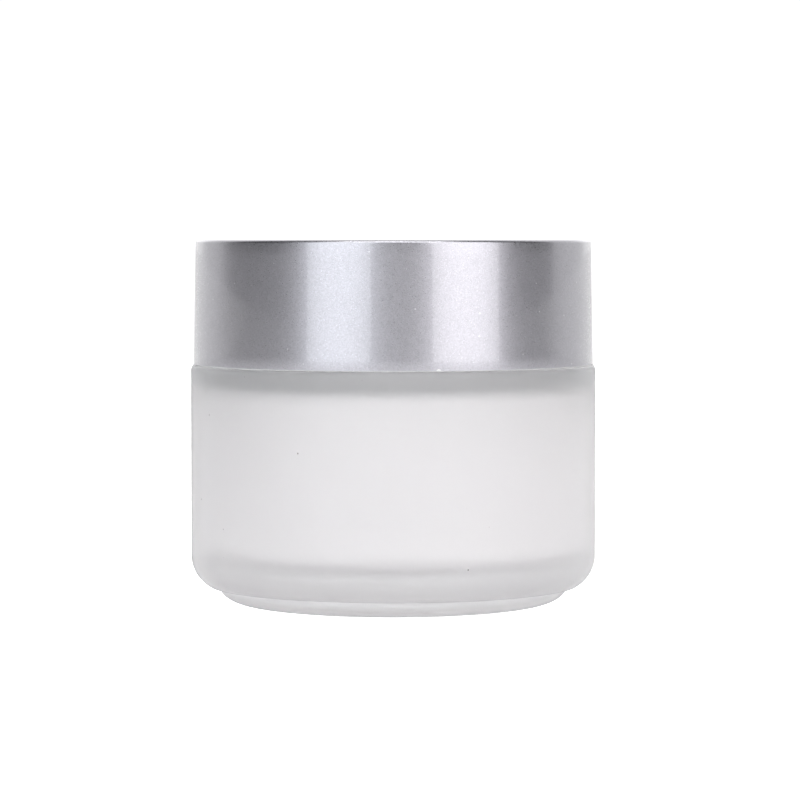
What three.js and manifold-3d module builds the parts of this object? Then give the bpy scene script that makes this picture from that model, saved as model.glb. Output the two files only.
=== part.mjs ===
// Frosted glass cream jar with a screw cap, in millimetres, +Z up, origin at the centre of the resting plane.
//
// The thick glass jar stands on a foot ring and has a threaded neck. A thin plastic sealing disc plugs its
// mouth, and a tab on a living hinge pulls the disc out. The cap is a silver shell over a white threaded
// insert, with a loose foam liner in the insert's roof. The glass has a thin white lining inside, which is
// a finish and has no solid of its own. Everything is drawn closed.
import * as THREE from "three";
import { mergeVertices } from "three/addons/utils/BufferGeometryUtils.js";
import Module from "manifold-3d";

const wasm = await Module();
wasm.setup();

// ---- Driving dimensions ----

// Glass jar
const bodyRadius = 35;
const bodyHeight = 41.35; // resting plane to the shoulder
const bodyWall = 5;
const floorThickness = 7.2; // resting plane to the floor inside
const floorCorner = 6.5;
const shoulderWidth = 6.4; // ledge from the neck out to the side of the body
const shoulderThickness = 3.4;
const shoulderCorner = 0.6; // radial length of the shoulder's rounded edge
const shoulderDrop = 1.2; // height of that edge
const cavityCorner = 1.6; // inside, where the side wall turns in under the shoulder
const throatCorner = 1.6; // inside, where the shoulder turns up into the mouth
const heelRadius = 6.1;
const heelSweep = 60; // degrees of arc before the heel meets the foot
const footRadius = 30.2;
const footHeight = 3.1;
const footCorner = 5.6; // radial length of the foot's rounded edge
const bearingWidth = 2.6; // flat ring that the jar stands on
const puntDepth = 1.1; // hollow under the base
const neckWall = 4;
const rimCorner = 0.9;
const neckFillet = 0.7;
const beadHeight = 2; // middle of the transfer bead above the shoulder
const beadWidth = 1.7;
const beadDepth = 0.55;

// Thread, one start, right-handed
const threadPitch = 4.2;
const threadTurns = 1.4;
const threadDepth = 1.25;
const threadWidth = 2.6; // of the glass thread, at its root
const threadLand = 1.5; // plain neck between the rim and the thread's end
const threadFade = 35; // degrees over which each end of a thread runs out
const threadRunOut = 0.4; // depth inside the wall that the ends run out to
const threadRoot = 0.8; // depth inside the wall that a thread's section starts from
const insertThreadTurns = 1.2;
const insertThreadWidth = 1.8;
const insertThreadCrest = 0.8;

// Cap
const capHeight = 21.35;
const capInset = 0.45; // the shell's lip stands in from the body's side by this
const capDraft = 0.95; // degrees of taper, narrower at the top
const shellWall = 1.3;
const shellRoof = 1.5;
const shellEdge = 0.6; // rounding of the top edge
const shellLip = 0.15; // rounding of the bottom edge
const splineCount = 12; // on the inside of the shell
const splineWidth = 1.2;
const insertWall = 1.2;
const insertRoof = 1.2;
const insertRecess = 0.7; // the insert's skirt ends above the shell's lip by this
const ribCount = 24; // on the outside of the insert
const ribWidth = 1;
const linerThickness = 1.5;
const retainerDepth = 0.3; // bead that holds the liner in

// Sealing disc and its tab
const flangeThickness = 0.8;
const flangeMargin = 0.4; // the flange ends inside the neck's outer wall by this
const panelRecess = 2.4; // flange top to panel top
const panelThickness = 0.8;
const plugWall = 0.9;
const plugDepth = 3; // of the plug below the flange
const stiffenerInset = 3.2; // ring on the panel, in from the plug
const stiffenerSize = 0.45;
const tabLength = 12.5;
const tabWidth = 13;
const tabThickness = 0.9;
const tabCorner = 0.25;
const hingeBlock = { width: 9, length: 1.6, height: 0.6 };
const gripCount = 3; // ridges across the tab's free end
const gripInset = 2; // of the first ridge from the tab's end
const gripPitch = 1.7;
const gripSize = 0.35;

// Clearances
const capGap = 0.3; // shell lip to glass shoulder
const seatGap = 0.15; // between faces that press together
const threadClearance = 0.45; // crest of one thread to the wall of the other
const threadBite = 0.25; // the closed insert's thread sits this far above mid-gap
const plugClearance = 0.25;
const fitGap = 0.2; // insert ribs and splines to what they fit
const hingeGap = 0.3;

// Facets
const around = 48;
const cornerSteps = 4;
const puntSteps = 5;
const tabSteps = 20;
const gripSteps = 12;

// ---- Sizes that follow ----

const neckRadius = bodyRadius - shoulderWidth;
const mouthRadius = neckRadius - neckWall;
const cavityRadius = bodyRadius - bodyWall;
const heelTop = footHeight + heelRadius * Math.sin(THREE.MathUtils.degToRad(heelSweep));

const lipRadius = bodyRadius - capInset;
const lipZ = bodyHeight + capGap;
const capTop = lipZ + capHeight;
const insertTop = capTop - shellRoof - seatGap;
const linerTop = insertTop - insertRoof - seatGap;
const linerBottom = linerTop - linerThickness;
const flangeTop = linerBottom - seatGap;
const flangeBottom = flangeTop - flangeThickness;
const rimZ = flangeBottom - seatGap;
const insertRootRadius = neckRadius + threadDepth + threadClearance;
const insertRadius = insertRootRadius + insertWall;
const insertBottom = lipZ + insertRecess;
const plugRadius = mouthRadius - plugClearance;
const panelTop = flangeTop - panelRecess;

const threadStartZ = rimZ - threadLand - threadWidth / 2 - threadPitch * threadTurns;

// Outside of the shell at a height, on its tapered side.
function shellRadius(z) {
  return lipRadius - (z - lipZ) * Math.tan(THREE.MathUtils.degToRad(capDraft));
}

// ---- Building blocks ----

// Points of an arc in a profile, from one angle to another in degrees, about a centre. The two radii differ
// for an elliptical corner.
function arc(r, z, radius, from, to, radiusZ = radius, steps = cornerSteps) {
  return Array.from({ length: steps + 1 }, (_, i) => {
    const a = THREE.MathUtils.degToRad(from + ((to - from) * i) / steps);
    return [r + radius * Math.cos(a), z + radiusZ * Math.sin(a)];
  });
}

// A geometry as a manifold solid, turned right side out.
function solid(geometry) {
  const bare = geometry.index ? geometry.toNonIndexed() : geometry.clone();
  bare.deleteAttribute("normal");
  bare.deleteAttribute("uv");
  const merged = mergeVertices(bare, 1e-4);
  const index = merged.index.array;
  const triVerts = [];
  for (let i = 0; i < index.length; i += 3) {
    const [a, b, c] = index.subarray(i, i + 3);
    if (a !== b && b !== c && c !== a) triVerts.push(a, b, c);
  }
  const make = (triangles) =>
    new wasm.Manifold(
      new wasm.Mesh({
        numProp: 3,
        vertProperties: new Float32Array(merged.attributes.position.array),
        triVerts: new Uint32Array(triangles),
      }),
    );
  const made = make(triVerts);
  return made.volume() < 0 ? make(triVerts.reverse()) : made;
}

// A profile of [radius, height] points turned about the Z axis.
function turned(profile) {
  const points = profile.map(([r, z]) => new THREE.Vector2(r, z));
  return solid(new THREE.LatheGeometry(points, around).rotateX(Math.PI / 2));
}

// A thread. Its section, with x standing out from the wall and y along the axis, is extruded straight and
// then wound onto the helix. Both ends sink into the wall. outward is 1 on a neck and -1 inside a cap.
function thread(section, { wall, outward, turns, startAngle, startZ }) {
  const steps = Math.ceil(turns * around);
  const shape = new THREE.Shape([
    new THREE.Vector2(-threadRoot, section[0][1]),
    ...section.map(([x, y]) => new THREE.Vector2(x, y)),
    new THREE.Vector2(-threadRoot, section.at(-1)[1]),
  ]);
  const straight = new THREE.ExtrudeGeometry(shape, { depth: 1, steps, bevelEnabled: false });
  const at = straight.attributes.position;
  for (let i = 0; i < at.count; i += 1) {
    const along = at.getZ(i);
    const degrees = 360 * turns;
    const ends = Math.min(along, 1 - along) * degrees;
    const risen = THREE.MathUtils.smoothstep(ends, 0, threadFade);
    const height = at.getX(i);
    const x = height < -threadRunOut ? height : THREE.MathUtils.lerp(-threadRunOut, height, risen);
    const r = wall + outward * x;
    const a = startAngle + THREE.MathUtils.degToRad(along * degrees);
    at.setXYZ(i, r * Math.cos(a), r * Math.sin(a), startZ + at.getY(i) + threadPitch * turns * along);
  }
  return solid(straight);
}

// Bars standing round the axis between two radii, from one height to another.
function bars(count, width, innerRadius, outerRadius, bottom, top, turn = 0) {
  const made = [];
  for (let i = 0; i < count; i += 1) {
    const bar = new THREE.BoxGeometry(outerRadius - innerRadius, width, top - bottom);
    bar.translate((innerRadius + outerRadius) / 2, 0, (bottom + top) / 2);
    bar.rotateZ(2 * Math.PI * ((i + turn) / count));
    made.push(solid(bar));
  }
  return wasm.Manifold.union(made);
}

// A named mesh of a solid.
function piece(name, made, material) {
  const { numProp, vertProperties, triVerts } = made.getMesh();
  const corners = new Float32Array((vertProperties.length / numProp) * 3);
  for (let i = 0; i < corners.length / 3; i += 1) {
    corners.set(vertProperties.subarray(i * numProp, i * numProp + 3), i * 3);
  }
  const geometry = new THREE.BufferGeometry();
  geometry.setAttribute("position", new THREE.BufferAttribute(corners, 3));
  geometry.setIndex(new THREE.BufferAttribute(new Uint32Array(triVerts), 1));
  geometry.computeVertexNormals();
  const mesh = new THREE.Mesh(geometry, material);
  mesh.name = name;
  return mesh;
}

// ---- Materials ----

const frostedGlass = new THREE.MeshStandardMaterial({
  color: 0xdfe4e5,
  roughness: 0.55,
  metalness: 0,
  transparent: true,
  opacity: 0.6,
});
const silverPaint = new THREE.MeshStandardMaterial({ color: 0xb9b8bf, roughness: 0.3, metalness: 0.9 });
const whitePolypropylene = new THREE.MeshStandardMaterial({ color: 0xf0f0ee, roughness: 0.45, metalness: 0 });
const whiteFoam = new THREE.MeshStandardMaterial({ color: 0xf6f6f4, roughness: 0.9, metalness: 0 });
const naturalPolyethylene = new THREE.MeshStandardMaterial({ color: 0xe8eceb, roughness: 0.4, metalness: 0 });

// ---- Glass jar ----

function glassJar() {
  const bearingOuter = footRadius - footCorner;
  const bearingInner = bearingOuter - bearingWidth;
  const ceiling = bodyHeight - shoulderThickness;
  const beadZ = bodyHeight + beadHeight;
  const punt = Array.from({ length: puntSteps }, (_, i) => {
    const share = i / puntSteps;
    return [bearingInner * share, puntDepth * Math.cos((share * Math.PI) / 2)];
  });
  const outside = [
    ...punt,
    [bearingInner, 0],
    ...arc(bearingOuter, footHeight, footCorner, -90, 0, footHeight),
    ...arc(bodyRadius - heelRadius, heelTop, heelRadius, -heelSweep, 0),
    ...arc(bodyRadius - shoulderCorner, bodyHeight - shoulderDrop, shoulderCorner, 0, 90, shoulderDrop),
    ...arc(neckRadius + neckFillet, bodyHeight + neckFillet, neckFillet, -90, -180, neckFillet, 2),
    ...arc(neckRadius, beadZ, beadDepth, -90, 90, beadWidth / 2),
    ...arc(neckRadius - rimCorner, rimZ - rimCorner, rimCorner, 0, 90),
  ];
  const inside = [
    ...arc(mouthRadius + rimCorner, rimZ - rimCorner, rimCorner, 90, 180),
    ...arc(mouthRadius + throatCorner, ceiling + throatCorner, throatCorner, 180, 270),
    ...arc(cavityRadius - cavityCorner, ceiling - cavityCorner, cavityCorner, 90, 0),
    ...arc(cavityRadius - floorCorner, floorThickness + floorCorner, floorCorner, 0, -90),
    [0, floorThickness],
  ];
  const rounded = arc(0, 0, threadDepth, -90, 90, threadWidth / 2, 6);
  const glassThread = thread(rounded, {
    wall: neckRadius,
    outward: 1,
    turns: threadTurns,
    startAngle: 0,
    startZ: threadStartZ,
  });
  return turned([...outside, ...inside]).add(glassThread);
}

// ---- Cap ----

// The space inside the shell, less a gap on every side. It runs on below the lip by a wall's thickness.
function shellInside(gap) {
  const bottom = lipZ - shellWall;
  const top = capTop - shellRoof - gap;
  return turned([
    [0, bottom],
    [shellRadius(bottom) - shellWall - gap, bottom],
    [shellRadius(top) - shellWall - gap, top],
    [0, top],
  ]);
}

function capShell() {
  const outer = turned([
    [0, lipZ],
    ...arc(lipRadius - shellLip, lipZ + shellLip, shellLip, -90, 0, shellLip, 3),
    ...arc(shellRadius(capTop) - shellEdge, capTop - shellEdge, shellEdge, 0, 90),
    [0, capTop],
  ]);
  const splineTop = capTop - shellRoof / 2;
  const splineBottom = insertBottom + insertRecess;
  const halfRibStep = splineCount / ribCount / 2;
  const splines = bars(
    splineCount,
    splineWidth,
    insertRadius + fitGap,
    lipRadius - shellWall / 2,
    splineBottom,
    splineTop,
    halfRibStep,
  ).intersect(outer);
  return outer.subtract(shellInside(0)).add(splines);
}

function capInsert() {
  const roofBottom = insertTop - insertRoof;
  const retainerZ = linerBottom - seatGap - retainerDepth;
  const skirt = turned([
    [0, roofBottom],
    [insertRootRadius, roofBottom],
    ...arc(insertRootRadius, retainerZ, -retainerDepth, -90, 90, -retainerDepth, 4),
    [insertRootRadius, insertBottom],
    [insertRadius, insertBottom],
    [insertRadius, insertTop],
    [0, insertTop],
  ]);
  const ribs = bars(
    ribCount,
    ribWidth,
    insertRadius - insertWall / 2,
    lipRadius,
    insertBottom,
    insertTop - insertRoof,
  ).intersect(shellInside(fitGap));
  const flanks = [
    [0, -insertThreadWidth / 2],
    [threadDepth, -insertThreadCrest / 2],
    [threadDepth, insertThreadCrest / 2],
    [0, insertThreadWidth / 2],
  ];
  const lag = (threadTurns - insertThreadTurns) / 2;
  const insertThread = thread(flanks, {
    wall: insertRootRadius,
    outward: -1,
    turns: insertThreadTurns,
    startAngle: 2 * Math.PI * lag,
    startZ: threadStartZ + threadPitch * (lag - 0.5) + threadBite,
  });
  return skirt.add(ribs).add(insertThread);
}

function foamLiner() {
  const radius = insertRootRadius - fitGap;
  return turned([
    [0, linerBottom],
    [radius, linerBottom],
    [radius, linerTop],
    [0, linerTop],
  ]);
}

// ---- Sealing disc and its tab ----

const hingeY = -tabLength / 2;
const tabBottom = panelTop + hingeGap;
const hingeZ = tabBottom + tabThickness / 2;

function sealingDisc() {
  const panelBottom = panelTop - panelThickness;
  const plugInner = plugRadius - plugWall;
  const plugBottom = flangeBottom - plugDepth;
  const flangeRadius = neckRadius - flangeMargin;
  const stiffenerRadius = plugInner - stiffenerInset;
  const disc = turned([
    [0, panelBottom],
    [plugInner, panelBottom],
    [plugInner, plugBottom],
    ...arc(plugRadius - plugWall / 2, plugBottom + plugWall / 2, plugWall / 2, -90, 0, plugWall / 2, 3),
    [plugRadius, flangeBottom],
    [flangeRadius, flangeBottom],
    [flangeRadius, flangeTop],
    [plugInner, flangeTop],
    [plugInner, panelTop],
    ...arc(stiffenerRadius, panelTop, stiffenerSize, 0, 180),
    [0, panelTop],
  ]);
  const overlap = panelThickness / 2;
  const block = new THREE.BoxGeometry(hingeBlock.width, hingeBlock.length, hingeBlock.height + overlap);
  block.translate(
    0,
    hingeY - hingeGap - hingeBlock.length / 2,
    panelTop + (hingeBlock.height - overlap) / 2,
  );
  return disc.add(solid(block));
}

function pullTab() {
  const half = tabWidth / 2;
  const straightEnd = hingeY + tabLength - half;
  const outline = new THREE.Shape();
  outline.moveTo(-half + tabCorner, hingeY + tabCorner);
  outline.lineTo(half - tabCorner, hingeY + tabCorner);
  outline.lineTo(half - tabCorner, straightEnd);
  outline.absarc(0, straightEnd, half - tabCorner, 0, Math.PI, false);
  outline.closePath();
  const plate = new THREE.ExtrudeGeometry(outline, {
    depth: tabThickness - 2 * tabCorner,
    bevelSize: tabCorner,
    bevelThickness: tabCorner,
    bevelSegments: 2,
    curveSegments: tabSteps,
  });
  plate.translate(0, 0, tabBottom + tabCorner);
  const grips = [];
  for (let i = 0; i < gripCount; i += 1) {
    const grip = new THREE.CylinderGeometry(gripSize, gripSize, half, gripSteps).rotateZ(Math.PI / 2);
    grip.translate(0, hingeY + tabLength - gripInset - i * gripPitch, tabBottom + tabThickness);
    grips.push(solid(grip));
  }
  return solid(plate).add(wasm.Manifold.union(grips));
}

// ---- Assembly ----

const jar = new THREE.Group();
jar.add(piece("glass_jar", glassJar(), frostedGlass));

const seal = new THREE.Group();
seal.add(piece("sealing_disc", sealingDisc(), naturalPolyethylene));
seal.add(piece("disc_pull_tab", pullTab(), naturalPolyethylene));
jar.add(seal);

const cap = new THREE.Group();
cap.add(piece("foam_liner", foamLiner(), whiteFoam));
cap.add(piece("threaded_cap_insert", capInsert(), whitePolypropylene));
cap.add(piece("silver_cap_shell", capShell(), silverPaint));
jar.add(cap);

export default jar;
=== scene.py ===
"""A frosted glass cream jar with a silver screw cap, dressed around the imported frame.

Lengths are in metres, +Z is up and the camera looks along +Y. Most pieces are turned profiles: lists of
(radius, height) points whose places come from the frame's boxes. A thread is relief on a turned wall.
"""
import math

import bpy
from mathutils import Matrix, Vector


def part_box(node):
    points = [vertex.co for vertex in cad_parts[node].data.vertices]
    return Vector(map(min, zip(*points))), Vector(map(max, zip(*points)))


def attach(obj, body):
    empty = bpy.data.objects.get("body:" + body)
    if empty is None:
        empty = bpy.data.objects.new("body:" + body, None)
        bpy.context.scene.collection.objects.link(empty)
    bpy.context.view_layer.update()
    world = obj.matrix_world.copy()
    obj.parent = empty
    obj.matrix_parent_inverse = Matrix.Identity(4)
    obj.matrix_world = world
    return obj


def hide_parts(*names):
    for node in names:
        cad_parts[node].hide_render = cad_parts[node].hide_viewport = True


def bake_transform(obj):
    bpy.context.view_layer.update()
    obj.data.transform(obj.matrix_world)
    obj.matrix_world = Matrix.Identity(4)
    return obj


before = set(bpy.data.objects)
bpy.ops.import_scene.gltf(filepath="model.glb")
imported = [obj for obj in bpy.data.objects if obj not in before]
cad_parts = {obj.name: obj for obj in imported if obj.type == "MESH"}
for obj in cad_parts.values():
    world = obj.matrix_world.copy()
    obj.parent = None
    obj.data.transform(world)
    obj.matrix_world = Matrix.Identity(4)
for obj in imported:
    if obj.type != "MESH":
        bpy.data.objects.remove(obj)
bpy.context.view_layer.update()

MM = 0.001
TAU = 2 * math.pi

# ---- Sizes taken from the frame ----

_, JAR_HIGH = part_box("glass_jar")
SHELL_LOW, SHELL_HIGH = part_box("silver_cap_shell")
INSERT_LOW, INSERT_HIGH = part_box("threaded_cap_insert")
LINER_LOW, LINER_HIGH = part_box("foam_liner")
DISC_LOW, DISC_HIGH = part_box("sealing_disc")
TAB_LOW, TAB_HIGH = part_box("disc_pull_tab")

BODY_RADIUS = JAR_HIGH.x
RIM_Z = JAR_HIGH.z
LIP_Z = SHELL_LOW.z
LIP_RADIUS = SHELL_HIGH.x
CAP_TOP = SHELL_HIGH.z
HINGE_Y = TAB_LOW.y

# ---- Sizes of the glass jar ----

LIP_GAP = 0.3 * MM
SHOULDER_Z = LIP_Z - LIP_GAP
SHOULDER_WIDTH = 6.4 * MM
SHOULDER_CORNER = 0.6 * MM
SHOULDER_DROP = 1.2 * MM
SHOULDER_THICKNESS = 3.4 * MM
NECK_WALL = 4 * MM
BODY_WALL = 5 * MM
NECK_RADIUS = BODY_RADIUS - SHOULDER_WIDTH
MOUTH_RADIUS = NECK_RADIUS - NECK_WALL
CAVITY_RADIUS = BODY_RADIUS - BODY_WALL
CAVITY_TOP_Z = SHOULDER_Z - SHOULDER_THICKNESS
CAVITY_FLOOR_Z = 7.2 * MM
CAVITY_FLOOR_CORNER = 6.5 * MM
CAVITY_TOP_CORNER = 1.6 * MM
THROAT_CORNER = 1.6 * MM
HEEL_RADIUS = 6.1 * MM
HEEL_SWEEP = 60  # degrees
FOOT_RADIUS = 30.2 * MM
FOOT_HEIGHT = 3.1 * MM
FOOT_CORNER = 5.6 * MM
BEARING_WIDTH = 2.6 * MM
PUNT_DEPTH = 1.1 * MM
RIM_CORNER = 0.9 * MM
NECK_FILLET = 0.7 * MM
BEAD_HEIGHT = 2 * MM
BEAD_WIDTH = 1.7 * MM
BEAD_DEPTH = 0.55 * MM

# ---- Sizes of the threads ----

THREAD_PITCH = 4.2 * MM
THREAD_TURNS = 1.4
THREAD_DEPTH = 1.25 * MM
THREAD_WIDTH = 2.6 * MM
THREAD_LAND = 1.5 * MM
THREAD_FADE = 35  # degrees
THREAD_START_Z = RIM_Z - THREAD_LAND - THREAD_WIDTH / 2 - THREAD_PITCH * THREAD_TURNS
INSERT_THREAD_TURNS = 1.2
INSERT_THREAD_WIDTH = 1.8 * MM
INSERT_THREAD_CREST = 0.8 * MM
THREAD_BITE = 0.25 * MM

# ---- Sizes of the cap ----

CAP_DRAFT = 0.95  # degrees
SHELL_WALL = 1.3 * MM
SHELL_ROOF = 1.5 * MM
SHELL_EDGE = 0.6 * MM
SHELL_LIP = 0.15 * MM
# How much of the gap to the shoulder the lip closes when it is screwed down
LIP_SEATING = 0.24 * MM
SEATED_LIP_Z = LIP_Z - LIP_SEATING
# Each chip's degrees round from the front, and its radius
LIP_CHIPS = ((12.5, 0.5 * MM), (-1.5, 0.25 * MM))
SPLINE_COUNT = 12
SPLINE_WIDTH = 1.2 * MM
SPLINE_RAISE = 0.7 * MM
# Share of the pitch between splines that the first one is turned by
SPLINE_TURN = 0.25
THREAD_ROOM = 1.7 * MM
INSERT_ROOT = NECK_RADIUS + THREAD_ROOM
INSERT_WALL = 1.2 * MM
INSERT_ROOF = 1.2 * MM
INSERT_EDGE = 0.25 * MM
INSERT_RADIUS = INSERT_ROOT + INSERT_WALL
RIB_COUNT = 24
RIB_WIDTH = 1 * MM
FIT_GAP = 0.2 * MM
LINER_GAP = 0.15 * MM
LINER_EDGE = 0.3 * MM
RETAINER_DEPTH = 0.3 * MM
DENT_DEPTH = 0.12 * MM
DENT_INSET = 0.3 * MM

# ---- Sizes of the sealing disc and its tab ----

FLANGE_THICKNESS = 0.8 * MM
PANEL_DEPTH = 2.4 * MM
PANEL_TOP = DISC_HIGH.z - PANEL_DEPTH
PANEL_THICKNESS = 0.8 * MM
PLUG_GAP = 0.25 * MM
PLUG_RADIUS = MOUTH_RADIUS - PLUG_GAP
PLUG_WALL = 0.9 * MM
STIFFENER_INSET = 3.2 * MM
STIFFENER_SIZE = 0.45 * MM
DISC_EDGE = 0.25 * MM
HINGE_BLOCK = Vector((9, 1.6, 0.6)) * MM
HINGE_BLOCK_EDGE = 0.15 * MM
HINGE_GAP = 0.3 * MM
WEB_THICKNESS = 0.22 * MM
WEB_SUNK = 0.05 * MM
WEB_EDGE = 0.04 * MM
TAB_THICKNESS = 0.9 * MM
TAB_CORNER = 0.25 * MM
TAB_TOP = TAB_LOW.z + TAB_THICKNESS
GRIP_COUNT = 3
GRIP_INSET = 2 * MM
GRIP_PITCH = 1.7 * MM
GRIP_SIZE = 0.35 * MM

# ---- Fineness of the meshes ----

AROUND = 192
# Distances between a profile's points, on threaded walls, the foot, plain faces, tops and hidden roofs
RELIEF_STEP = 0.14 * MM
FOOT_STEP = 0.5 * MM
FACE_STEP = 2 * MM
TOP_STEP = 3 * MM
ROOF_STEP = 4 * MM
PUNT_STEPS = 14
TAB_END_STEPS = 28
# Radii that count as the axis, or as on a threaded wall
ON_AXIS = 1e-7
ON_WALL = 0.01 * MM

# ---- Colours, as pairs where a texture wanders from the first to the second ----

GLASS_CLOUDS = (0.968, 0.973, 0.983), (0.983, 0.986, 0.992)
SOLID_GLASS = (0.965, 0.985, 1.0)
DUST = (0.12, 0.11, 0.1)
CLEAR_GLASS = (0.975, 0.985, 0.982), (0.99, 0.995, 0.993)
LINING = (0.965, 0.935, 0.94), (0.995, 0.965, 0.97)
# Painted shade for the white lining, at the bottom of the cavity floor's corner
CORNER_SHADE_LINING = (0.54, 0.51, 0.53)
LACQUER = (0.42, 0.412, 0.447), (0.535, 0.526, 0.571)
BRIGHT_FLAKE = (0.95, 0.95, 0.97)
CHIPPED_LACQUER = (0.72, 0.72, 0.72)
BARE_ABS = (0.55, 0.55, 0.56), (0.62, 0.62, 0.63)
POLYPROPYLENE = (0.8, 0.8, 0.79), (0.86, 0.86, 0.85)
POLYETHYLENE = (0.77, 0.79, 0.78), (0.84, 0.86, 0.85)
FOAM = (0.9, 0.9, 0.88), (0.8, 0.8, 0.79)
GLASS_IOR = 1.5
PLASTIC_IOR = 1.49

# ---- Studio: brightness of what surrounds the jar ----

WORLD_SEEN = 1.05
FLOOR_SEEN = 0.9
FLOOR_NEAR = 0.3
FLOOR_FAR = 0.06
FLOOR_SWEEP = 0.4
BACKDROP_MIDDLE = 1.45
BACKDROP_SIDE = 0.92
HORIZON_SHARE = 0.72
ROOM_MIDDLE = 0.34
ROOM_FLAG = 0.06
ROOM_CEILING = 0.25

# ---- Studio: where one brightness turns into the next ----

# In degrees. Azimuth 0 is the camera's side, and positive is to its right
RIGHT_EDGE = (102, 107)
LEFT_EDGE = (-122, -104)
FLAG_EDGE = (45, 70)
BACKDROP_EDGE = (135, 150)
STRAIGHT_BEHIND = (165, 175)
ABOVE_HORIZON = (1, 6)
CEILING_ELEVATION = (45, 65)
# In the Y of a direction
CEILING_REAR = (-0.1, 0.1)
# In metres along the floor, from the jar and towards the rear
NEAR_FLOOR = (0.08, 0.25)
REAR_FLOOR = (0.3, 0.9)
FLOOR_RADIUS = 60
FLOOR_DROP = 0.05 * MM

# ---- Studio: lights and camera ----

LIGHT_DISTANCE = 1.0
LIGHT_TARGET = Vector((0, 0, RIM_Z * 0.8))
# Name, azimuth, elevation, width, height, power and colour
SOFTBOXES = (
    ("left_softbox", -30.8, 12, 0.68, 1.1, 4.15, (0.93, 0.97, 1.0)),
    ("right_softbox", 41.7, 12, 0.74, 1.1, 5.0, (1.0, 0.99, 1.0)),
    ("top_strip", 0, 62, 0.9, 0.25, 4.7, (1.0, 1.0, 1.0)),
)
CAMERA_PLACE = (0, -0.6312, 0.06675)
CAMERA_LENS = 164.1
CAMERA_SENSOR = 36
# Degrees below the horizon, and to the right of +Y
CAMERA_DOWN = 2.871
CAMERA_RIGHT = 0.106


# ---- Building blocks ----


def arc(centre_r, centre_z, radius, start, end, radius_z=None, steps=8):
    """Profile points of an arc between two angles in degrees."""
    radius_z = radius if radius_z is None else radius_z
    angles = [math.radians(start + (end - start) * i / steps) for i in range(steps + 1)]
    return [(centre_r + radius * math.cos(a), centre_z + radius_z * math.sin(a)) for a in angles]


def straight(first, last, step):
    """Evenly spaced profile points between two ends, without the ends themselves."""
    count = max(1, round(math.dist(first, last) / step))
    shares = [i / count for i in range(1, count)]
    return [(first[0] + (last[0] - first[0]) * t, first[1] + (last[1] - first[1]) * t) for t in shares]


def smoothstep(low, high, value):
    t = min(max((value - low) / (high - low), 0), 1)
    return t * t * (3 - 2 * t)


def new_object(name, vertices, faces, face_materials, materials, smooth=True):
    mesh = bpy.data.meshes.new(name)
    mesh.from_pydata(vertices, [], faces)
    for material in materials:
        mesh.materials.append(material)
    mesh.polygons.foreach_set("material_index", face_materials)
    mesh.polygons.foreach_set("use_smooth", [smooth] * len(faces))
    mesh.validate()
    mesh.update()
    obj = bpy.data.objects.new(name, mesh)
    bpy.context.scene.collection.objects.link(obj)
    return obj


def turned(name, bands, materials, relief=None):
    """A closed solid of a profile turned about Z.

    bands is a list of (material index, points). The profile runs on from band to band and starts and ends
    on the axis. relief gives how far a point of an angle, radius and height is moved outwards.
    """
    profile = [(r, z, index) for index, points in bands for r, z in points]
    vertices = []
    rings = []
    for r, z, _ in profile:
        if r < ON_AXIS:
            rings.append([len(vertices)] * AROUND)
            vertices.append((0, 0, z))
            continue
        rings.append(list(range(len(vertices), len(vertices) + AROUND)))
        for i in range(AROUND):
            angle = TAU * i / AROUND
            radius = r + (relief(angle, r, z) if relief else 0)
            vertices.append((radius * math.cos(angle), radius * math.sin(angle), z))
    faces = []
    face_materials = []
    for (lower, upper), (_, _, index) in zip(zip(rings, rings[1:]), profile[1:]):
        for i in range(AROUND):
            j = (i + 1) % AROUND
            corners = [lower[i], lower[j], upper[j], upper[i]]
            faces.append(list(dict.fromkeys(corners)))
            face_materials.append(index)
    return new_object(name, vertices, faces, face_materials, materials)


def thread_relief(angle, z, start_z, start_angle, turns, profile):
    """Height of a thread over its wall. profile gives the height at a distance along the axis."""
    best = 0
    offset = (angle - start_angle) % TAU
    while offset <= TAU * turns:
        centre = start_z + THREAD_PITCH * offset / TAU
        from_end = math.degrees(min(offset, TAU * turns - offset))
        best = max(best, profile(z - centre) * smoothstep(0, THREAD_FADE, from_end))
        offset += TAU
    return best


def add_bevel(obj, width, segments=3):
    bevel = obj.modifiers.new("bevel", "BEVEL")
    bevel.width = width
    bevel.segments = segments
    bevel.limit_method = "ANGLE"
    bevel.angle_limit = math.radians(30)


def radial_bars(name, count, size, radius, low_z, turn, material):
    """Bars of (radial depth, width, height) that stand round the axis, as one mesh with rounded edges."""
    depth, width, height = size
    vertices = []
    faces = []
    for i in range(count):
        angle = TAU * (i + turn) / count
        out = Vector((math.cos(angle), math.sin(angle), 0))
        side = Vector((-math.sin(angle), math.cos(angle), 0))
        base = len(vertices)
        for z in (low_z, low_z + height):
            for r, s in ((0, -1), (depth, -1), (depth, 1), (0, 1)):
                vertices.append(out * (radius + r) + side * (s * width / 2) + Vector((0, 0, z)))
        quads = [(3, 2, 1, 0), (4, 5, 6, 7), (0, 1, 5, 4), (1, 2, 6, 5), (2, 3, 7, 6), (3, 0, 4, 7)]
        faces += [[base + k for k in quad] for quad in quads]
    obj = new_object(name, vertices, faces, [0] * len(faces), [material])
    add_bevel(obj, min(depth, width) / 5)
    return obj


# ---- Material building blocks ----


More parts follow.
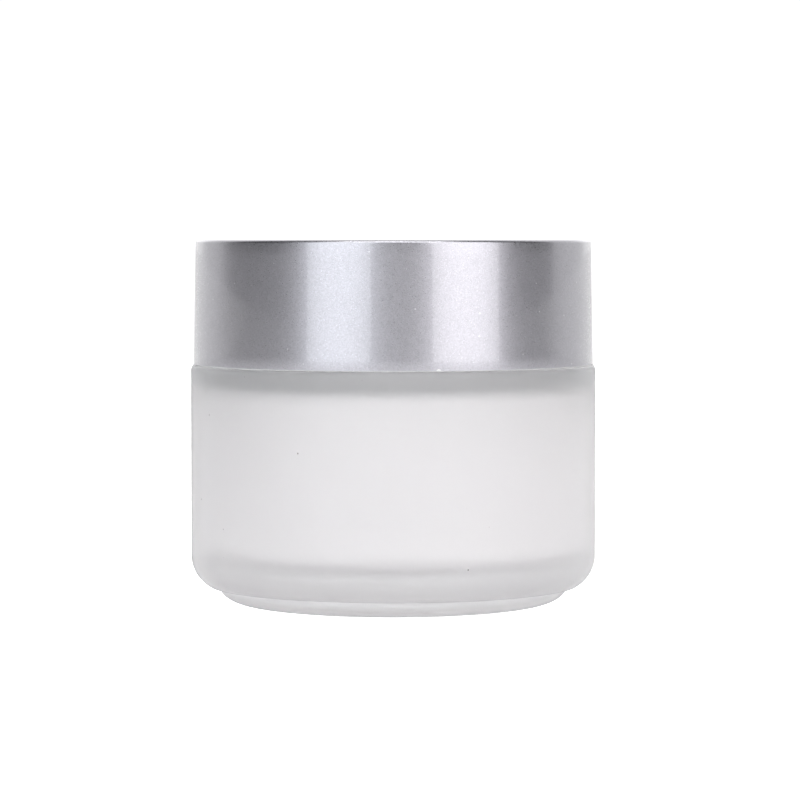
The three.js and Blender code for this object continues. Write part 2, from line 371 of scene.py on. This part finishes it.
class Tree:
    """A node tree, with short ways to add and join nodes."""

    def __init__(self, tree):
        self.tree = tree

    def add(self, kind, **settings):
        node = self.tree.nodes.new(kind)
        for key, value in settings.items():
            setattr(node, key, value)
        return node

    def link(self, source, target):
        self.tree.links.new(source, target)

    def feed(self, value, target):
        """Gives a socket a number or another node's output."""
        if isinstance(value, (int, float)):
            target.default_value = value
        else:
            self.link(value, target)

    def math(self, operation, first, second=0.0):
        node = self.add("ShaderNodeMath", operation=operation)
        self.feed(first, node.inputs[0])
        self.feed(second, node.inputs[1])
        return node.outputs[0]

    def parts(self, vector):
        """The three numbers of a vector."""
        node = self.add("ShaderNodeSeparateXYZ")
        self.link(vector, node.inputs[0])
        return node.outputs

    def length(self, vector):
        node = self.add("ShaderNodeVectorMath", operation="LENGTH")
        self.link(vector, node.inputs[0])
        return node.outputs["Value"]

    def spread(self, value, low, high, to_low, to_high, smooth=False):
        """value taken from one range to another, and held inside it."""
        node = self.add("ShaderNodeMapRange", interpolation_type="SMOOTHSTEP" if smooth else "LINEAR")
        self.link(value, node.inputs["Value"])
        for key, number in zip(("From Min", "From Max", "To Min", "To Max"), (low, high, to_low, to_high)):
            node.inputs[key].default_value = number
        return node.outputs["Result"]

    def between(self, factor, first, second):
        """A number between two."""
        node = self.add("ShaderNodeMix", data_type="FLOAT")
        self.feed(factor, node.inputs[0])
        self.feed(first, node.inputs[2])
        self.feed(second, node.inputs[3])
        return node.outputs[0]


class Nodes(Tree):
    """The node tree of a new material with one Principled shader."""

    def __init__(self, name):
        self.material = bpy.data.materials.new(name)
        self.material.use_nodes = True
        super().__init__(self.material.node_tree)
        self.shader = self.tree.nodes["Principled BSDF"]
        self.place = self.add("ShaderNodeTexCoord").outputs["Object"]

    def height(self):
        """Height above the plane that the jar stands on."""
        return self.parts(self.place)["Z"]

    def set(self, **values):
        """Sets the shader's own sockets. A keyword's underscores stand for spaces."""
        for key, value in values.items():
            self.shader.inputs[key.replace("_", " ")].default_value = value

    def drive(self, socket, source):
        """Feeds one of the shader's own sockets from another node."""
        self.link(source, self.shader.inputs[socket])

    def noise(self, size, detail=2):
        """Noise whose features are about size metres across."""
        node = self.add("ShaderNodeTexNoise")
        node.inputs["Scale"].default_value = 1 / size
        node.inputs["Detail"].default_value = detail
        self.link(self.place, node.inputs["Vector"])
        return node.outputs["Fac"]

    def cells(self, size):
        """Voronoi cells about size metres across, as a node."""
        node = self.add("ShaderNodeTexVoronoi")
        node.inputs["Scale"].default_value = 1 / size
        self.link(self.place, node.inputs["Vector"])
        return node

    def specks(self, spacing, radius):
        """1 on small round specks scattered at random, and 0 between them, with a soft edge."""
        distance = self.cells(spacing).outputs["Distance"]
        return self.spread(distance, radius / spacing, 1.5 * radius / spacing, 1, 0)

    def spots(self, balls):
        """1 inside balls given as (centre, radius), and 0 outside them, with a soft edge."""
        inside = 0.0
        for centre, radius in balls:
            node = self.add("ShaderNodeVectorMath", operation="DISTANCE")
            self.link(self.place, node.inputs[0])
            node.inputs[1].default_value = centre
            ball = self.spread(node.outputs["Value"], 0.8 * radius, radius, 1, 0)
            inside = self.math("MAXIMUM", inside, ball)
        return inside

    def mix(self, factor, first, second):
        """A colour between two, which are colours or sockets."""
        node = self.add("ShaderNodeMix", data_type="RGBA")
        self.feed(factor, node.inputs["Factor"])
        for key, value in ((6, first), (7, second)):
            if isinstance(value, tuple):
                node.inputs[key].default_value = (*value, 1)
            else:
                self.link(value, node.inputs[key])
        return node.outputs[2]

    def bump(self, height, strength, distance):
        node = self.add("ShaderNodeBump")
        node.inputs["Strength"].default_value = strength
        node.inputs["Distance"].default_value = distance
        self.link(height, node.inputs["Height"])
        self.drive("Normal", node.outputs["Normal"])


# ---- Materials ----


def frosted_glass():
    """Acid-etched soda-lime glass, bluer where the shoulder is solid, with clouds and specks of dust."""
    n = Nodes("etched_glass")
    n.set(IOR=GLASS_IOR, Transmission_Weight=0.88)
    clouds = n.noise(size=9 * MM, detail=4)
    fade = 1.5 * MM
    solid = n.spread(n.height(), CAVITY_TOP_Z - fade, CAVITY_TOP_Z + fade, 0, 1, smooth=True)
    tint = n.mix(solid, n.mix(clouds, *GLASS_CLOUDS), SOLID_GLASS)
    n.drive("Base Color", n.mix(n.specks(spacing=5 * MM, radius=0.11 * MM), tint, DUST))
    n.drive("Roughness", n.spread(clouds, 0.25, 0.75, 0.55, 0.61))
    n.bump(n.noise(size=0.25 * MM), strength=0.15, distance=0.02 * MM)
    return n.material


def clear_glass():
    """The fire-polished neck, with slow ripples from the mould."""
    n = Nodes("clear_glass")
    n.set(IOR=GLASS_IOR, Transmission_Weight=1.0)
    ripples = n.noise(size=7 * MM, detail=1)
    n.drive("Roughness", n.spread(ripples, 0.2, 0.8, 0.02, 0.07))
    n.drive("Base Color", n.mix(ripples, *CLEAR_GLASS))
    n.bump(ripples, strength=0.25, distance=0.1 * MM)
    return n.material


def white_lining():
    """The white lining sprayed on the inside of the glass, uneven, with painted shade that darkens it in
    the floor's corner.
    """
    n = Nodes("white_lining")
    n.set(IOR=GLASS_IOR, Transmission_Weight=0.1)
    clouds = n.noise(size=8 * MM, detail=3)
    # Near the floor, the distance from the origin is close to the distance from the axis
    corner_start = CAVITY_RADIUS - 1.3 * CAVITY_FLOOR_CORNER
    corner_top = CAVITY_FLOOR_Z + 0.5 * CAVITY_FLOOR_CORNER
    outer = n.spread(n.length(n.place), corner_start, corner_start + 3 * MM, 0, 1)
    low = n.spread(n.height(), CAVITY_FLOOR_Z, corner_top, 1, 0, smooth=True)
    # Painted shade: the lining darkens towards the foot of the floor's corner and the outer floor, where
    # less light reaches
    n.drive("Base Color", n.mix(n.math("MULTIPLY", low, outer), n.mix(clouds, *LINING), CORNER_SHADE_LINING))
    n.drive("Roughness", n.spread(clouds, 0.3, 0.7, 0.5, 0.6))
    n.bump(n.noise(size=0.3 * MM), strength=0.2, distance=0.02 * MM)
    return n.material


def silver_lacquer():
    """Silver paint with fine metal flakes and a few bright ones under a gloss coat, chipped at the lip."""
    n = Nodes("silver_lacquer")
    n.set(Metallic=1.0, Coat_Weight=1.0, Coat_Roughness=0.03, Coat_IOR=1.5)
    flake = n.add("ShaderNodeSeparateColor")
    n.link(n.cells(0.12 * MM).outputs["Color"], flake.inputs["Color"])
    paint = n.mix(flake.outputs["Red"], *LACQUER)
    flecked = n.mix(n.specks(spacing=2.6 * MM, radius=0.08 * MM), paint, BRIGHT_FLAKE)
    chips = []
    for angle, radius in LIP_CHIPS:
        a = math.radians(angle)
        centre = (LIP_RADIUS * math.sin(a), -LIP_RADIUS * math.cos(a), SEATED_LIP_Z)
        chips.append((centre, radius))
    n.drive("Base Color", n.mix(n.spots(chips), flecked, CHIPPED_LACQUER))
    n.drive("Roughness", n.spread(flake.outputs["Green"], 0, 1, 0.27, 0.37))
    n.bump(flake.outputs["Blue"], strength=0.035, distance=0.015 * MM)
    return n.material


def moulded_plastic(name, colours, roughness):
    """Injection-moulded plastic with a faint texture from the mould and slow flow marks."""
    n = Nodes(name)
    flow = n.noise(size=6 * MM, detail=3)
    n.drive("Base Color", n.mix(flow, *colours))
    n.drive("Roughness", n.spread(flow, 0.3, 0.7, roughness - 0.05, roughness + 0.06))
    n.bump(n.noise(size=0.4 * MM), strength=0.2, distance=0.02 * MM)
    n.set(IOR=PLASTIC_IOR, Subsurface_Weight=0.25, Subsurface_Scale=0.6 * MM, Subsurface_Radius=(1, 1, 1))
    return n.material


def closed_cell_foam():
    """Expanded polyethylene foam: small flat cells under a thin skin."""
    n = Nodes("white_foam")
    cells = n.cells(0.5 * MM).outputs["Distance"]
    n.drive("Base Color", n.mix(cells, *FOAM))
    n.set(Roughness=0.85, Subsurface_Weight=0.3, Subsurface_Scale=0.8 * MM, Subsurface_Radius=(1, 1, 1))
    n.bump(cells, strength=0.5, distance=0.06 * MM)
    return n.material


# ---- Glass jar ----


def glass_thread_section(distance):
    t = abs(distance) / (THREAD_WIDTH / 2)
    return THREAD_DEPTH * math.sqrt(max(0.0, 1 - t * t)) if t < 1 else 0.0


def glass_jar(frosted, clear, lining):
    bearing_outer = FOOT_RADIUS - FOOT_CORNER
    bearing_inner = bearing_outer - BEARING_WIDTH
    heel_top = FOOT_HEIGHT + HEEL_RADIUS * math.sin(math.radians(HEEL_SWEEP))
    shoulder_low = SHOULDER_Z - SHOULDER_DROP
    bead_z = SHOULDER_Z + BEAD_HEIGHT
    shares = [i / PUNT_STEPS for i in range(PUNT_STEPS)]
    punt = [(bearing_inner * t, PUNT_DEPTH * math.cos(t * math.pi / 2)) for t in shares]
    heel_start = (BODY_RADIUS - HEEL_RADIUS * (1 - math.cos(math.radians(HEEL_SWEEP))), FOOT_HEIGHT)
    outside = [
        *punt,
        (bearing_inner, 0),
        *arc(bearing_outer, FOOT_HEIGHT, FOOT_CORNER, -90, 0, FOOT_HEIGHT, 16),
        *straight((FOOT_RADIUS, FOOT_HEIGHT), heel_start, FOOT_STEP),
        *arc(BODY_RADIUS - HEEL_RADIUS, heel_top, HEEL_RADIUS, -HEEL_SWEEP, 0, steps=16),
        *straight((BODY_RADIUS, heel_top), (BODY_RADIUS, shoulder_low), FACE_STEP),
        *arc(BODY_RADIUS - SHOULDER_CORNER, shoulder_low, SHOULDER_CORNER, 0, 90, SHOULDER_DROP),
    ]
    neck_low = (NECK_RADIUS, bead_z + BEAD_WIDTH / 2)
    neck_high = (NECK_RADIUS, RIM_Z - RIM_CORNER)
    neck = [
        *arc(NECK_RADIUS + NECK_FILLET, SHOULDER_Z + NECK_FILLET, NECK_FILLET, -90, -180, steps=5),
        *arc(NECK_RADIUS, bead_z, BEAD_DEPTH, -90, 90, BEAD_WIDTH / 2, 10),
        *straight(neck_low, neck_high, RELIEF_STEP),
        *arc(NECK_RADIUS - RIM_CORNER, RIM_Z - RIM_CORNER, RIM_CORNER, 0, 90),
    ]
    throat = [
        *arc(MOUTH_RADIUS + RIM_CORNER, RIM_Z - RIM_CORNER, RIM_CORNER, 90, 180),
        *arc(MOUTH_RADIUS + THROAT_CORNER, CAVITY_TOP_Z + THROAT_CORNER, THROAT_CORNER, 180, 270),
    ]
    top_corner_r = CAVITY_RADIUS - CAVITY_TOP_CORNER
    floor_corner_r = CAVITY_RADIUS - CAVITY_FLOOR_CORNER
    floor_corner_z = CAVITY_FLOOR_Z + CAVITY_FLOOR_CORNER
    cavity = [
        *arc(top_corner_r, CAVITY_TOP_Z - CAVITY_TOP_CORNER, CAVITY_TOP_CORNER, 90, 0),
        *arc(floor_corner_r, floor_corner_z, CAVITY_FLOOR_CORNER, 0, -90, steps=12),
        (0, CAVITY_FLOOR_Z),
    ]

    def relief(angle, r, z):
        if not neck_low[1] <= z <= neck_high[1] or abs(r - NECK_RADIUS) > ON_WALL:
            return 0
        return thread_relief(angle, z, THREAD_START_Z, 0, THREAD_TURNS, glass_thread_section)

    bands = [(0, outside), (1, neck), (2, throat), (2, cavity)]
    jar = turned("frosted_jar", bands, [frosted, clear, lining], relief)
    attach(jar, "jar")
    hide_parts("glass_jar")


# ---- Cap ----


def shell_radius(z):
    """Outside of the shell at a height, on its tapered side."""
    return LIP_RADIUS - (z - LIP_Z) * math.tan(math.radians(CAP_DRAFT))


def cap_shell(painted, bare):
    roof_z = CAP_TOP - SHELL_ROOF
    inner_lip = shell_radius(LIP_Z) - SHELL_WALL
    inner_top = shell_radius(roof_z) - SHELL_WALL
    top_radius = shell_radius(CAP_TOP)
    lip_low = SEATED_LIP_Z + SHELL_LIP
    lip = arc(LIP_RADIUS - SHELL_LIP, lip_low, SHELL_LIP, -90, 0)
    outside = [
        *straight((LIP_RADIUS, lip_low), (top_radius, CAP_TOP - SHELL_EDGE), FACE_STEP),
        *arc(top_radius - SHELL_EDGE, CAP_TOP - SHELL_EDGE, SHELL_EDGE, 0, 90),
        *straight((top_radius - SHELL_EDGE, CAP_TOP), (0, CAP_TOP), TOP_STEP),
        (0, CAP_TOP),
    ]
    inside = [
        (0, roof_z),
        *straight((0, roof_z), (inner_top, roof_z), ROOF_STEP),
        *arc(inner_top - SHELL_EDGE, roof_z - SHELL_EDGE, SHELL_EDGE, 90, 0),
        (inner_lip, lip_low),
        *arc(inner_lip + SHELL_LIP, lip_low, SHELL_LIP, 180, 270, steps=4),
    ]
    shell = turned("cap_shell", [(1, inside), (1, lip), (0, outside)], [painted, bare])
    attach(shell, "cap")
    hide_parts("silver_cap_shell")
    spline_inner = INSERT_RADIUS + FIT_GAP
    spline_low = INSERT_LOW.z + SPLINE_RAISE
    size = (LIP_RADIUS - SHELL_WALL / 2 - spline_inner, SPLINE_WIDTH, roof_z - spline_low)
    splines = radial_bars(
        "cap_shell_splines", SPLINE_COUNT, size, spline_inner, spline_low, SPLINE_TURN, bare
    )
    splines.parent = shell


def insert_thread_section(distance):
    root = INSERT_THREAD_WIDTH / 2
    crest = INSERT_THREAD_CREST / 2
    return THREAD_DEPTH * min(max((root - abs(distance)) / (root - crest), 0), 1)


def cap_insert(plastic):
    roof_low = INSERT_HIGH.z - INSERT_ROOF
    bead_z = LINER_LOW.z - LINER_GAP - RETAINER_DEPTH
    edge = INSERT_EDGE
    wall_low = (INSERT_ROOT, INSERT_LOW.z + edge)
    wall_high = (INSERT_ROOT, bead_z - RETAINER_DEPTH)
    profile = [
        (0, roof_low),
        *straight((0, roof_low), (INSERT_ROOT, roof_low), ROOF_STEP),
        *arc(INSERT_ROOT - edge, roof_low - edge, edge, 90, 0, steps=4),
        *arc(INSERT_ROOT, bead_z, -RETAINER_DEPTH, -90, 90, -RETAINER_DEPTH),
        *straight(wall_high, wall_low, RELIEF_STEP),
        *arc(INSERT_ROOT + edge, INSERT_LOW.z + edge, edge, 180, 270, steps=4),
        *arc(INSERT_RADIUS - edge, INSERT_LOW.z + edge, edge, -90, 0, steps=4),
        *arc(INSERT_RADIUS - edge, INSERT_HIGH.z - edge, edge, 0, 90, steps=4),
        (0, INSERT_HIGH.z),
    ]
    # Half a pitch under the glass thread, so that each one's turns lie between the other's
    lag = (THREAD_TURNS - INSERT_THREAD_TURNS) / 2
    start_z = THREAD_START_Z + THREAD_PITCH * (lag - 0.5) + THREAD_BITE

    def relief(angle, r, z):
        if not wall_low[1] < z < wall_high[1] or abs(r - INSERT_ROOT) > ON_WALL:
            return 0
        return -thread_relief(angle, z, start_z, TAU * lag, INSERT_THREAD_TURNS, insert_thread_section)

    insert = turned("cap_insert", [(0, profile)], [plastic], relief)
    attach(insert, "cap")
    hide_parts("threaded_cap_insert")
    rib_radius = INSERT_RADIUS - INSERT_WALL / 2
    rib_height = roof_low - INSERT_LOW.z
    depth = shell_radius(INSERT_HIGH.z) - SHELL_WALL - FIT_GAP - rib_radius
    size = (depth, RIB_WIDTH, rib_height)
    ribs = radial_bars("cap_insert_ribs", RIB_COUNT, size, rib_radius, INSERT_LOW.z, 0, plastic)
    ribs.parent = insert


def foam_liner(foam):
    """The wad, with the ring that the sealing disc's flange has pressed into it."""
    low, high = LINER_LOW.z, LINER_HIGH.z
    radius = LINER_HIGH.x
    edge = LINER_EDGE
    dent_inner = MOUTH_RADIUS + DENT_INSET
    dent_outer = DISC_HIGH.x
    profile = [
        (0, low),
        *straight((0, low), (dent_inner, low), FACE_STEP),
        (dent_inner, low),
        (dent_inner + DENT_DEPTH, low + DENT_DEPTH),
        (dent_outer - DENT_DEPTH, low + DENT_DEPTH),
        (dent_outer, low),
        *arc(radius - edge, low + edge, edge, -90, 0, steps=5),
        *arc(radius - edge, high - edge, edge, 0, 90, steps=5),
        (0, high),
    ]
    liner = turned("liner_wad", [(0, profile)], [foam])
    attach(liner, "liner")
    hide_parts("foam_liner")


# ---- Sealing disc and its tab ----


def sealing_disc(plastic):
    panel_bottom = PANEL_TOP - PANEL_THICKNESS
    flange_top = DISC_HIGH.z
    flange_bottom = flange_top - FLANGE_THICKNESS
    flange_radius = DISC_HIGH.x
    plug_inner = PLUG_RADIUS - PLUG_WALL
    plug_bottom = DISC_LOW.z
    edge = DISC_EDGE
    round_edge = PLUG_WALL / 2
    stiffener = plug_inner - STIFFENER_INSET
    profile = [
        (0, panel_bottom),
        *straight((0, panel_bottom), (plug_inner, panel_bottom), TOP_STEP),
        *arc(plug_inner - edge, panel_bottom - edge, edge, 90, 0, steps=4),
        *arc(plug_inner + round_edge, plug_bottom + round_edge, round_edge, 180, 360),
        *arc(PLUG_RADIUS + edge, flange_bottom - edge, edge, 180, 90, steps=4),
        *arc(flange_radius - edge, flange_bottom + edge, edge, -90, 0, steps=4),
        *arc(flange_radius - edge, flange_top - edge, edge, 0, 90, steps=4),
        *arc(plug_inner + edge, flange_top - edge, edge, 90, 180, steps=4),
        *arc(plug_inner - edge, PANEL_TOP + edge, edge, 0, -90, steps=4),
        *arc(stiffener, PANEL_TOP, STIFFENER_SIZE, 0, 180),
        *straight((stiffener - STIFFENER_SIZE, PANEL_TOP), (0, PANEL_TOP), TOP_STEP),
        (0, PANEL_TOP),
    ]
    disc = turned("sealing_lid", [(0, profile)], [plastic])
    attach(disc, "disc")
    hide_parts("sealing_disc")
    return disc


def box_mesh(name, low, high, material, bevel, rows=8):
    """A box between two corners with rounded edges, cut into rows along Y so that it can bend."""
    vertices = []
    for i in range(rows + 1):
        y = low.y + (high.y - low.y) * i / rows
        vertices += [(low.x, y, low.z), (high.x, y, low.z), (high.x, y, high.z), (low.x, y, high.z)]
    faces = [(0, 1, 2, 3), tuple(4 * rows + k for k in (3, 2, 1, 0))]
    for i in range(rows):
        for k in range(4):
            j = (k + 1) % 4
            faces.append((4 * i + k, 4 * (i + 1) + k, 4 * (i + 1) + j, 4 * i + j))
    obj = new_object(name, vertices, faces, [0] * len(faces), [material])
    add_bevel(obj, bevel, 2)
    return obj


def hinge_block(disc, plastic):
    sunk = PANEL_THICKNESS / 2
    low = Vector((-HINGE_BLOCK.x / 2, HINGE_Y - HINGE_GAP - HINGE_BLOCK.y, PANEL_TOP - sunk))
    high = Vector((HINGE_BLOCK.x / 2, HINGE_Y - HINGE_GAP, PANEL_TOP + HINGE_BLOCK.z))
    block = box_mesh("tab_hinge_block", low, high, plastic, HINGE_BLOCK_EDGE)
    block.parent = disc


def living_hinge(plastic):
    """The thin web between block and tab, which bends as the tab folds."""
    web = WEB_THICKNESS
    top = PANEL_TOP + HINGE_BLOCK.z - WEB_SUNK
    low = Vector((-HINGE_BLOCK.x / 2 + web, HINGE_Y - HINGE_GAP - web, top - web))
    high = Vector((HINGE_BLOCK.x / 2 - web, HINGE_Y + 2 * web, top))
    hinge = box_mesh("living_hinge", low, high, plastic, WEB_EDGE)
    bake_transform(hinge)


def rounded_slab(name, outline, low_z, high_z, corner, material):
    """A plate of an outline, with rounded upper and lower edges."""
    count = len(outline)
    vertices = [(x, y, z) for z in (low_z, high_z) for x, y in outline]
    faces = [list(reversed(range(count))), list(range(count, 2 * count))]
    for i in range(count):
        j = (i + 1) % count
        faces.append([i, j, count + j, count + i])
    slab = new_object(name, vertices, faces, [0] * len(faces), [material])
    add_bevel(slab, corner)
    return slab


def pull_tab(plastic):
    half = TAB_HIGH.x
    straight_end = TAB_HIGH.y - half
    angles = [math.pi * i / TAB_END_STEPS for i in range(TAB_END_STEPS + 1)]
    outline = [(-half, HINGE_Y), (half, HINGE_Y)]
    outline += [(half * math.cos(a), straight_end + half * math.sin(a)) for a in angles]
    tab = rounded_slab("pull_tab", outline, TAB_LOW.z, TAB_TOP, TAB_CORNER, plastic)
    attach(tab, "tab")
    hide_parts("disc_pull_tab")
    for i in range(GRIP_COUNT):
        y = TAB_HIGH.y - GRIP_INSET - i * GRIP_PITCH
        low = Vector((-half / 2, y - GRIP_SIZE, TAB_TOP - GRIP_SIZE / 2))
        high = Vector((half / 2, y + GRIP_SIZE, TAB_TOP + GRIP_SIZE))
        grip = box_mesh(f"pull_tab_grip_{i + 1}", low, high, plastic, 0.8 * GRIP_SIZE, rows=1)
        grip.parent = tab


# ---- Studio ----


def area_light(name, azimuth, elevation, width, height, power, colour):
    """A softbox that faces the jar. Azimuth 0 is the camera's side, and positive is to its right."""
    data = bpy.data.lights.new(name, "AREA")
    data.shape = "RECTANGLE"
    data.size = width
    data.size_y = height
    data.energy = power
    data.color = colour
    light = bpy.data.objects.new(name, data)
    a, e = math.radians(azimuth), math.radians(elevation)
    towards = Vector((math.sin(a) * math.cos(e), -math.cos(a) * math.cos(e), math.sin(e)))
    light.location = LIGHT_TARGET + towards * LIGHT_DISTANCE
    light.rotation_euler = (-towards).to_track_quat("-Z", "Y").to_euler()
    light.visible_camera = False
    bpy.context.scene.collection.objects.link(light)


def seen_or_lit(n, lit, seen):
    """One brightness for what the camera sees directly, and another for light and reflections."""
    return n.between(n.add("ShaderNodeLightPath").outputs["Is Camera Ray"], lit, seen)


def floor():
    """A pale floor that the camera sees as white. It lights the jar a little from nearby and behind."""
    n = Nodes("pale_floor")
    n.set(Base_Color=(0.9, 0.9, 0.9, 1), Roughness=0.9, Emission_Color=(1, 1, 1, 1))
    middle = n.spread(n.length(n.place), *NEAR_FLOOR, FLOOR_NEAR, FLOOR_FAR, smooth=True)
    rear = n.spread(n.parts(n.place)["Y"], *REAR_FLOOR, 0, 1, smooth=True)
    n.drive("Emission Strength", seen_or_lit(n, n.between(rear, middle, FLOOR_SWEEP), FLOOR_SEEN))
    steps = 64
    angles = [TAU * i / steps for i in range(steps)]
    ring = [(FLOOR_RADIUS * math.cos(a), FLOOR_RADIUS * math.sin(a), 0) for a in angles]
    obj = new_object("floor", ring, [list(range(steps))], [0], [n.material], smooth=False)
    obj.location.z = -FLOOR_DROP


def studio_world():
    """A white backdrop, a dim room on the camera's side with dark flags at its ends, and a rear ceiling."""
    world = bpy.data.worlds.new("studio")
    bpy.context.scene.world = world
    world.use_nodes = True
    n = Tree(world.node_tree)
    background = n.tree.nodes["Background"]
    background.inputs["Color"].default_value = (1, 1, 1, 1)
    x, y, z = n.parts(n.add("ShaderNodeTexCoord").outputs["Generated"])
    azimuth = n.math("DEGREES", n.math("ARCTAN2", x, n.math("MULTIPLY", y, -1)))
    elevation = n.math("DEGREES", n.math("ARCSINE", z))
    aside = n.math("ABSOLUTE", azimuth)
    right = n.spread(azimuth, *RIGHT_EDGE, 0, 1, smooth=True)
    left = n.spread(azimuth, *LEFT_EDGE, 1, 0, smooth=True)
    backdrop = n.spread(aside, *BACKDROP_EDGE, BACKDROP_SIDE, BACKDROP_MIDDLE, smooth=True)
    above = n.spread(elevation, *ABOVE_HORIZON, HORIZON_SHARE, 1, smooth=True)
    behind = n.spread(aside, *STRAIGHT_BEHIND, 0, 1, smooth=True)
    backdrop = n.math("MULTIPLY", backdrop, n.math("MAXIMUM", above, behind))
    room = n.spread(aside, *FLAG_EDGE, ROOM_MIDDLE, ROOM_FLAG, smooth=True)
    walls = n.between(n.math("MAXIMUM", right, left), room, backdrop)
    ceiling = n.spread(y, *CEILING_REAR, 0, ROOM_CEILING, smooth=True)
    lit = n.between(n.spread(elevation, *CEILING_ELEVATION, 0, 1, smooth=True), walls, ceiling)
    n.link(seen_or_lit(n, lit, WORLD_SEEN), background.inputs["Strength"])


def camera():
    """A long lens a little above the cap's top, looking slightly down."""
    data = bpy.data.cameras.new("camera")
    data.sensor_width = CAMERA_SENSOR
    data.lens = CAMERA_LENS
    obj = bpy.data.objects.new("camera", data)
    obj.location = CAMERA_PLACE
    obj.rotation_euler = (math.radians(90 - CAMERA_DOWN), 0, -math.radians(CAMERA_RIGHT))
    bpy.context.scene.collection.objects.link(obj)
    bpy.context.scene.camera = obj


# ---- Assembly ----

camera()
floor()
studio_world()
for softbox in SOFTBOXES:
    area_light(*softbox)
bpy.context.scene.view_settings.view_transform = "Standard"

glass_jar(frosted_glass(), clear_glass(), white_lining())
cap_shell(silver_lacquer(), moulded_plastic("bare_abs", BARE_ABS, roughness=0.4))
cap_insert(moulded_plastic("white_polypropylene", POLYPROPYLENE, roughness=0.38))
foam_liner(closed_cell_foam())
polyethylene = moulded_plastic("natural_polyethylene", POLYETHYLENE, roughness=0.42)
hinge_block(sealing_disc(polyethylene), polyethylene)
pull_tab(polyethylene)
living_hinge(polyethylene)
